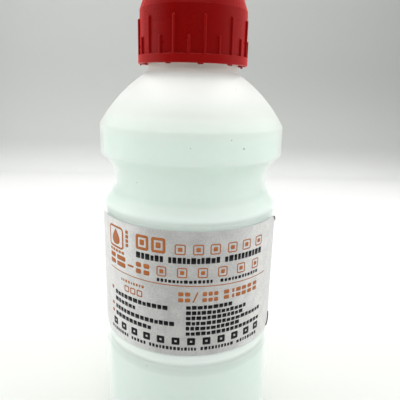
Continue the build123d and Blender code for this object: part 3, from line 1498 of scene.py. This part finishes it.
@dataclass
class FrontLabel:
    """The silver label: a thin sheet with rounded corners, two of them starting to lift."""

    middle: float = math.radians(-92.8)
    face: float = 35.67 * MM
    wrap: float = math.radians(148.5)
    thickness: float = 0.12 * MM
    corner: float = 4.5 * MM
    curl: float = 0.3 * MM
    curl_reach: float = 4.0 * MM
    ripple: float = 0.02 * MM
    across: int = 113

    def __post_init__(self) -> None:
        """Take the height from the CAD node, and the width from how far it wraps round."""
        low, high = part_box("label")
        self.low, self.high = low.z, high.z
        self.half_width = self.face * self.wrap / 2.0

    def surface(self, s: np.ndarray, z: np.ndarray, proud: float = 0.0) -> np.ndarray:
        """Points over the label's face.

        The face is a cylinder with a faint ripple, and near its two right-hand corners it lifts by
        curl * exp(-(distance / reach)^2).

        Args:
            s: Distances round the face from its middle.
            z: Heights.
            proud: Height over the face.

        Returns:
            Array of points, shaped as s with an axis of three added.
        """
        s, z = np.broadcast_arrays(np.asarray(s, float), np.asarray(z, float))
        lift = np.zeros_like(s)
        for corner_z, share in ((self.high, 1.0), (self.low, 0.7)):
            away = np.hypot(s - self.half_width, z - corner_z)
            lift += share * self.curl * np.exp(-((away / self.curl_reach) ** 2))
        wave = self.ripple * np.sin(s / (5.1 * MM) + 1.3) * np.sin(z / (7.3 * MM))
        radius = self.face + lift + np.maximum(wave, -0.01 * MM) + proud
        angle = self.middle + s / self.face
        return np.stack([radius * np.cos(angle), radius * np.sin(angle), z], axis=-1)

    def build(self) -> list[bpy.types.Object]:
        """Build the sheet and settle it in the frame.

        Returns:
            The sheet, alone in a list.
        """
        bend = 1.0 - np.cos(np.linspace(0.0, math.pi / 2.0, 9))
        z = np.concatenate([
            self.low + self.corner * bend,
            np.linspace(self.low + self.corner, self.high - self.corner, 30)[1:-1],
            (self.high - self.corner * bend)[::-1],
        ])
        inset = np.maximum(self.corner - np.minimum(z - self.low, self.high - z), 0.0)
        half = self.half_width - self.corner + np.sqrt(np.maximum(self.corner**2 - inset**2, 0.0))
        s = half[:, None] * np.linspace(-1.0, 1.0, self.across)[None, :]
        front = self.surface(s, z[:, None])
        back = self.surface(s, z[:, None], -self.thickness)
        points, faces = closed_sheet(front, back)
        self.sheet = object_from_arrays("silver_label", points, faces)
        settle(self.sheet, Body.BOTTLE, "label")
        return [self.sheet]

    def dress(self, effects: SharedEffects) -> None:
        """Give the sheet its film.

        Args:
            effects: Shared node groups.
        """
        self.sheet.data.materials.append(SilverFilm().build(effects))


@dataclass
class InkStamp:
    """Collects flat printed marks and wraps them on the label's face."""

    label: FrontLabel
    proud: float = 0.018 * MM
    sunk: float = -0.03 * MM
    # Height of the painted shadow lines that arc lays along the lifted corners.
    bead: float = 0.3 * MM
    step: float = 0.9 * MM
    parts: list[Shape] = field(default_factory=list)

    def lay(self, s: np.ndarray, z: np.ndarray, proud: float | None = None) -> None:
        """Wrap an open grid of marks' points, as a closed thin sheet.

        Args:
            s: Distances round the face, in millimetres, rows by columns.
            z: Heights in millimetres.
            proud: How far it stands out in metres, if not as far as the rest of the print.
        """
        front = self.label.surface(s * MM, z * MM, self.proud if proud is None else proud)
        back = self.label.surface(s * MM, z * MM, self.sunk)
        self.parts.append(closed_sheet(front, back))

    def block(self, left: float, right: float, low: float, high: float, corner: float = 0.25,
              lean: float = 0.0, tilt: float = 0.0) -> None:
        """Print a rounded block, in millimetres.

        Args:
            left: Its left edge.
            right: Its right edge.
            low: Its lower edge.
            high: Its upper edge.
            corner: Radius of its corners.
            lean: Sideways shift per unit of height.
            tilt: Rise per unit of width.
        """
        corner = min(corner, (right - left) / 2.0, (high - low) / 2.0)
        bend = corner * (1.0 - np.cos(np.linspace(0.0, math.pi / 2.0, 4)))
        inner = max(2, math.ceil((right - left - 2.0 * corner) / (self.step / MM)) + 1)
        run = np.linspace(left + corner, right - corner, inner)
        s = np.concatenate([left + bend[:-1], run, (right - bend[:-1])[::-1]])
        short = np.maximum(corner - np.minimum(s - left, right - s), 0.0)
        inset = corner - np.sqrt(np.maximum(corner**2 - short**2, 0.0))
        z = np.stack([low + inset, high - inset])
        middle = (low + high) / 2.0
        lower_shift = lean * (z - middle)
        self.lay(s[None, :] + lower_shift, z + tilt * (s - left)[None, :])

    def ring(self, left: float, right: float, low: float, high: float, stroke: float, corner: float) -> None:
        """Print the frame of a rounded rectangle, in millimetres.

        Args:
            left: Its left edge.
            right: Its right edge.
            low: Its lower edge.
            high: Its upper edge.
            stroke: Width of the line.
            corner: Outer radius of its corners.
        """
        middle = ((left + right) / 2.0, (low + high) / 2.0)
        half_s, half_z = (right - left) / 2.0, (high - low) / 2.0
        outer = rounded_loop(*middle, half_s, half_z, corner)
        inner = rounded_loop(*middle, half_s - stroke, half_z - stroke, max(corner - stroke, 0.05))
        loops = [outer, inner, inner, outer]
        heights = [self.proud, self.proud, self.sunk, self.sunk]
        rows = np.stack([
            self.label.surface(loop[:, 0] * MM, loop[:, 1] * MM, height)
            for loop, height in zip(loops, heights)
        ])
        count = rows.shape[1]
        faces = grid_faces(len(loops) + 1, count, wrap=True) % (len(loops) * count)
        self.parts.append((rows.reshape(-1, 3), faces.tolist()))

    def halves(self, left: float, right: float, low: float, high: float, gap: float, corner: float) -> None:
        """Print a block in two halves, one over the other, in millimetres.

        Args:
            left: Its left edge.
            right: Its right edge.
            low: Its lower edge.
            high: Its upper edge.
            gap: Space between the halves.
            corner: Radius of the halves' corners.
        """
        middle = (low + high) / 2.0
        self.block(left, right, low, middle - gap / 2.0, corner)
        self.block(left, right, middle + gap / 2.0, high, corner)

    def arc(self, s: float, z: float, radius: float, start: float, end: float, stroke: float) -> None:
        """Print part of a circle, thinning towards both of its ends; it draws the painted shadow lines along
        the label's lifted corners.

        Args:
            s: Middle of the circle, in millimetres.
            z: Height of its middle, in millimetres.
            radius: Its radius, in millimetres.
            start: Direction of its first end, in degrees.
            end: Direction of its last end, in degrees.
            stroke: Greatest width of the line, in millimetres.
        """
        share = np.linspace(0.0, 1.0, 13)
        angle = np.radians(end + (start - end) * share)
        half = stroke / 2.0 * (0.25 + 0.75 * np.sin(math.pi * share))
        rings = radius + np.stack([-half, half])
        self.lay(s + rings * np.cos(angle), z + rings * np.sin(angle), self.bead)

    def drop(self, s: float, z: float, half: float, height: float) -> None:
        """Print a droplet with its point up, in millimetres.

        Its width at share t of its height goes as sqrt(t) * (1 - t)^1.1, fattest near the foot.

        Args:
            s: Its middle.
            z: Its foot.
            half: Half of its greatest width.
            height: Its height.
        """
        share = (1.0 - np.cos(np.linspace(0.0, math.pi, 25))) / 2.0
        wide = np.sqrt(share) * (1.0 - share) ** 1.1
        wide = half * np.maximum(wide / wide.max(), 0.01)
        across = np.linspace(-1.0, 1.0, 9)
        self.lay(s + wide[:, None] * across[None, :], z + height * np.repeat(share[:, None], 9, axis=1))

    def word(self, left: float, right: float, low: float, high: float, pitch: float, seed: int,
             tilt: float = 0.0, corner: float = 0.2, gap: float = 0.3) -> None:
        """Print a word as a row of plain blocks of slightly different widths, in millimetres.

        Args:
            left: Where it starts.
            right: Where it ends.
            low: Its lower edge.
            high: Its upper edge.
            pitch: Mean distance from block to block.
            seed: Seed of the widths.
            tilt: Rise per unit of width.
            corner: Radius of the blocks' corners.
            gap: Space between blocks.
        """
        chance = np.random.default_rng(seed)
        count = max(1, round((right - left) / pitch))
        widths = chance.uniform(0.8, 1.2, count)
        edges = left + np.concatenate([[0.0], np.cumsum(widths)]) / widths.sum() * (right - left)
        for start, end in zip(edges[:-1], edges[1:]):
            drop = chance.choice([0.0, 0.0, 0.0, 0.12]) * (high - low)
            rise = tilt * (start - left)
            self.block(start, end - gap, low + rise, high - drop + rise, corner)

    def build(self, name: str) -> bpy.types.Object:
        """Join the marks into one piece that moves with the bottle.

        Args:
            name: Name of the piece.

        Returns:
            The object.
        """
        points, faces = joined(self.parts)
        piece = object_from_arrays(name, points, faces)
        settle(piece, Body.BOTTLE)
        return piece


@dataclass
class LabelPrint:
    """The print, as plain blocks where lettering would stand, in two inks."""

    label: FrontLabel

    def orange_marks(self) -> InkStamp:
        """Lay out what is printed in orange.

        Returns:
            The stamp that holds the marks.
        """
        ink = InkStamp(self.label)
        ink.ring(-34.4, -24.8, 91.6, 100.3, 0.8, 1.6)
        ink.drop(-29.6, 93.0, 2.5, 6.2)
        for row in range(4):
            ink.block(-23.6, -22.2, 93.6 + 1.7 * row, 94.9 + 1.7 * row, 0.2)
        for row in range(5):
            ink.block(-33.9 + 1.95 * row, -32.4 + 1.95 * row, 89.95, 91.05, 0.2)
        for left in (-18.5, -12.0):
            ink.ring(left, left + 5.4, 94.2, 99.9, 1.05, 0.9)
            ink.block(left + 1.75, left + 3.65, 96.0, 98.1, 0.4)
        for middle in (-1.4, 5.0, 11.1, 17.7, 23.9, 30.5):
            ink.ring(middle - 1.95, middle + 1.95, 94.2, 98.1, 0.45, 0.7)
            ink.block(middle - 0.8, middle + 0.8, 95.4, 96.9, 0.3)
        for left, right in ((-33.9, -30.2), (-29.2, -23.9), (-18.6, -16.2), (-15.2, -12.7)):
            ink.halves(left, right, 84.8, 89.2, 0.7, 0.6)
        ink.block(-22.7, -19.7, 86.3, 87.1, 0.2)
        for middle in (-8.1, -0.6, 6.75, 14.1, 21.75, 29.1):
            ink.ring(middle - 1.85, middle + 1.85, 85.5, 89.4, 0.45, 0.7)
            ink.block(middle - 0.75, middle + 0.75, 86.7, 88.2, 0.3)
        ink.block(-34.2, 36.1, 82.75, 83.1, 0.1, tilt=-0.0145)
        ink.word(-26.6, -14.6, 79.3, 80.4, 1.35, 3, gap=0.55)
        for left in (-24.8, -21.6, -18.4):
            ink.ring(left, left + 2.6, 75.5, 78.1, 0.5, 0.5)
        for left, right in ((-1.9, 0.0), (0.5, 2.4), (6.8, 8.5), (9.0, 10.6), (11.1, 12.7)):
            ink.halves(left, right, 76.1, 80.0, 0.8, 0.4)
        ink.block(4.0, 4.6, 76.0, 80.1, 0.2, lean=0.4)
        for left in (14.9, 18.3, 20.0, 22.7, 25.5, 28.5):
            ink.halves(left, left + (1.0 if left == 18.3 else 2.1), 76.3, 80.0, 0.6, 0.3)
        for z in (74.25, 67.4, 64.2):
            ink.block(-33.9, -32.2, z - 0.7, z + 0.7, 0.6)
        return ink

    def black_marks(self) -> InkStamp:
        """Lay out what is printed in black.

        Returns:
            The stamp that holds the marks.
        """
        ink = InkStamp(self.label)
        for index, (left, right) in enumerate(((-18.4, -7.1), (-5.6, 13.2), (14.75, 32.7))):
            ink.word(left, right, 90.9, 93.2, 1.75, 10 + index, gap=0.36)
        for index, (left, right) in enumerate(((-9.8, 10.8), (13.3, 31.1))):
            ink.word(left, right, 83.4, 84.7, 1.5, 20 + index, gap=0.45)
        left_lines = ((-30.9, -5.4, 72.4), (-30.9, -18.9, 69.5), (-30.9, -2.9, 66.2), (-30.9, -11.9, 63.2))
        for index, (left, right, low) in enumerate(left_lines):
            ink.word(left, right, low, low + 1.75, 2.05, 30 + index, gap=0.35)
        right_lines = ((18.9, 73.2), (25.4, 71.0), (23.9, 68.95), (34.1, 66.8), (22.5, 64.75), (33.9, 62.6))
        for index, (right, low) in enumerate(right_lines):
            ink.word(1.0, right, low, low + 1.55, 1.95, 40 + index, gap=0.35)
        for index in range(12):
            middle = -31.4 + 5.745 * index
            ink.ring(middle - 1.5, middle + 1.5, 58.6, 61.6, 1.1, 0.4)
        # Painted shadow lines in black ink along the edges of the two lifted right-hand corners.
        ink.arc(41.7, 58.5, 4.3, -75.0, 12.0, 0.34)
        ink.arc(41.7, 98.3, 4.3, 25.0, 88.0, 0.3)
        bottom_words = ((-34.5, -22.75), (-21.4, -14.2), (-13.1, 5.4), (6.6, 20.2), (21.4, 32.7))
        for index, (left, right) in enumerate(bottom_words):
            ink.word(left, right, 56.3, 57.7, 1.35, 60 + index, gap=0.45)
        return ink

    def build(self) -> list[bpy.types.Object]:
        """Build one piece of print for each ink.

        Returns:
            Both pieces.
        """
        self.orange = self.orange_marks().build("orange_print")
        self.black = self.black_marks().build("black_print")
        return [self.orange, self.black]

    def dress(self) -> None:
        """Give each piece of print its ink."""
        self.orange.data.materials.append(Ink.ORANGE.value.build())
        self.black.data.materials.append(Ink.BLACK.value.build())


# ---------------------------------------------------------------- stage, lights and camera


@dataclass(frozen=True)
class SoftBox:
    """A soft rectangular light."""

    name: str
    place: tuple[float, float, float]
    size: tuple[float, float]
    power: float                # watts
    mirrored: bool = False      # whether shiny surfaces show it

    def build(self, target: Vector) -> None:
        """Hang the light and point it.

        Args:
            target: What it points at.
        """
        data = bpy.data.lights.new(self.name, "AREA")
        data.shape = "RECTANGLE"
        data.size, data.size_y = self.size
        data.energy = self.power
        lamp = bpy.data.objects.new(self.name, data)
        lamp.location = self.place
        lamp.rotation_euler = (target - Vector(self.place)).to_track_quat("-Z", "Y").to_euler()
        lamp.visible_glossy = self.mirrored
        lamp.visible_camera = False
        bpy.context.scene.collection.objects.link(lamp)


@dataclass
class Studio:
    """Pale floor running up into a grey wall, soft lights, the room round them and the camera."""

    floor_front: float = -1.6
    wall_distance: float = 0.60
    sweep_radius: float = 0.05
    wall_top: float = 1.5
    half_width: float = 1.8
    camera_place: tuple[float, float, float] = (0.0, -0.17036, 0.15060)
    camera_yaw: float = math.radians(1.385)
    camera_pitch: float = math.radians(15.147)
    camera_roll: float = math.radians(1.476)
    lens: float = 37.63
    floor_painted_shade: Colour = (0.655, 0.665, 0.635, 1.0)
    floor_white: Colour = (0.82, 0.825, 0.81, 1.0)
    floor_glow: float = 0.06
    # Painted light: the wall brighter towards its foot.
    wall_foot_glow: Colour = (0.75, 0.76, 0.745, 1.0)
    room_front: Colour = (0.01, 0.01, 0.01, 1.0)
    room_right: Colour = (0.4, 0.4, 0.4, 1.0)
    room_seen: Colour = (0.55, 0.555, 0.55, 1.0)
    room_low: Colour = (1.15, 1.15, 1.14, 1.0)
    room_high: Colour = (0.42, 0.425, 0.42, 1.0)
    # Painted light: the wall lighter at the left than at the right.
    wall_lit_left: Colour = (0.475, 0.484, 0.471, 1.0)
    wall_shaded_right: Colour = (0.38, 0.388, 0.376, 1.0)
    aim: tuple[float, float, float] = (0.0, 0.0, 0.1)
    soft_boxes: tuple[SoftBox, ...] = (
        SoftBox("left_softbox", (-0.55, 0.08, 0.22), (0.5, 0.6), 1.7),
        SoftBox("right_softbox", (0.55, 0.08, 0.22), (0.5, 0.6), 1.7),
        SoftBox("overhead_softbox", (0.0, 0.2, 0.75), (0.9, 0.7), 5.5, mirrored=True),
        SoftBox("front_fill", (0.0, -0.66, 0.64), (1.0, 0.5), 4.25),
    )

    def build_sweep(self) -> None:
        """Build floor and wall as one sheet: a straight run, a quarter arc and a straight climb."""
        run = filleted_run(
            [
                (self.floor_front, 0.0, 0.0),
                (self.wall_distance, 0.0, self.sweep_radius),
                (self.wall_distance, self.wall_top, 0.0),
            ],
            0.1,
        )
        across = np.linspace(-self.half_width, self.half_width, 13)
        grid = np.empty((len(run), len(across), 3))
        grid[:, :, 0] = across[None, :]
        grid[:, :, 1] = run[:, :1]
        grid[:, :, 2] = run[:, 1:]
        faces = grid_faces(len(run), len(across), wrap=False).tolist()
        sweep = object_from_arrays("studio_sweep", grid, faces)
        sweep.data.materials.append(self.sweep_paint())
        sweep.visible_glossy = False

    def sweep_paint(self) -> bpy.types.Material:
        """White floor with a painted shade strip through the bottle's base, fading into a grey wall over the
        sweep; the wall carries painted light, lighter at the left than the right and brighter near its foot.

        Returns:
            The material.
        """
        material, sheet, shader = new_material("studio_paint")
        place = sheet.object_place()
        split = sheet.add("ShaderNodeSeparateXYZ")
        sheet.join(place, split.inputs[0])
        climb = sheet.maths("ADD", split.outputs["Z"], sheet.maths("MULTIPLY", split.outputs["Y"], 0.5))
        wall = sheet.ramp(climb, 0.5 * self.wall_distance - 0.06, 0.5 * self.wall_distance + 0.05)
        # Painted light on the wall: lighter at the left, darker at the right, and brighter towards its foot.
        shade = sheet.blend(sheet.ramp(split.outputs["X"], -0.35, 0.35), self.wall_lit_left, self.wall_shaded_right)
        foot = sheet.ramp(split.outputs["Z"], 0.0, 0.2, 0.4, 0.0)
        shade = sheet.blend(foot, shade, self.wall_foot_glow)
        # Painted shade on the floor in a strip through the bottle's base, fading out by 0.2 m in front and
        # behind.
        from_base = sheet.maths("ABSOLUTE", split.outputs["Y"])
        near = sheet.blend(sheet.ramp(from_base, 0.03, 0.2), self.floor_painted_shade, self.floor_white)
        colour = sheet.blend(wall, near, shade)
        sheet.join(colour, shader.inputs["Base Color"])
        rough = sheet.ramp(sheet.noise(place, 30.0, 3.0), 0.3, 0.7, 0.75, 0.85)
        sheet.join(rough, shader.inputs["Roughness"])
        sheet.join(colour, shader.inputs["Emission Color"])
        set_sockets(shader, {"Emission Strength": self.floor_glow, "Specular IOR Level": 0.1})
        return material

    def build_lights(self) -> None:
        """Hang the soft boxes, and a room that is bright behind the bottle and dark in front."""
        for box in self.soft_boxes:
            box.build(Vector(self.aim))
        world = bpy.data.worlds.new("dim_room")
        bpy.context.scene.world = world
        world.use_nodes = True
        sheet = Sheet(world.node_tree)
        split = sheet.add("ShaderNodeSeparateXYZ")
        sheet.join(sheet.add("ShaderNodeTexCoord").outputs["Generated"], split.inputs[0])
        back = sheet.ramp(split.outputs["Y"], -0.8, 0.15)
        bright = sheet.blend(sheet.ramp(split.outputs["Z"], -0.12, 0.05), self.room_low, self.room_high)
        colour = sheet.blend(back, self.room_front, bright)
        rightward = sheet.ramp(split.outputs["X"], -0.8, 0.8, 0.0, 0.25)
        colour = sheet.blend(rightward, colour, self.room_right)
        seen = sheet.add("ShaderNodeLightPath").outputs["Is Camera Ray"]
        colour = sheet.blend(seen, colour, self.room_seen)
        sheet.join(colour, world.node_tree.nodes["Background"].inputs["Color"])

    def build_camera(self) -> None:
        """Aim the camera: turned by the yaw, tipped down by the pitch, rolled about its own axis."""
        data = bpy.data.cameras.new("camera")
        data.lens = self.lens
        data.clip_start = 0.01
        camera = bpy.data.objects.new("camera", data)
        heading = Matrix.Rotation(-self.camera_yaw, 4, "Z")
        tip = Matrix.Rotation(math.pi / 2.0 - self.camera_pitch, 4, "X")
        roll = Matrix.Rotation(self.camera_roll, 4, "Z")
        camera.matrix_world = Matrix.Translation(self.camera_place) @ heading @ tip @ roll
        bpy.context.scene.collection.objects.link(camera)
        bpy.context.scene.camera = camera

    def build(self) -> None:
        """Build the stage, the lights and the camera."""
        self.build_sweep()
        self.build_lights()
        self.build_camera()
        bpy.context.scene.view_settings.view_transform = "Standard"


def main() -> None:
    """Build the sub-assemblies in order, dress them and report each piece."""
    logging.basicConfig(level=logging.INFO, format="%(name)s: %(message)s")
    effects = SharedEffects.build()
    bottle, cap, liner, label = BlownBottle(), ScrewCap(), CapLiner(), FrontLabel()
    pieces: list[bpy.types.Object] = []
    for part in (bottle, cap, liner, label):
        pieces += part.build()
        part.dress(effects)
    lettering = LabelPrint(label)
    pieces += lettering.build()
    lettering.dress()
    Studio().build()
    for piece in pieces:
        LOG.info("%s: %d points, %d faces", piece.name, len(piece.data.vertices), len(piece.data.polygons))


if __name__ == "__main__":
    main()
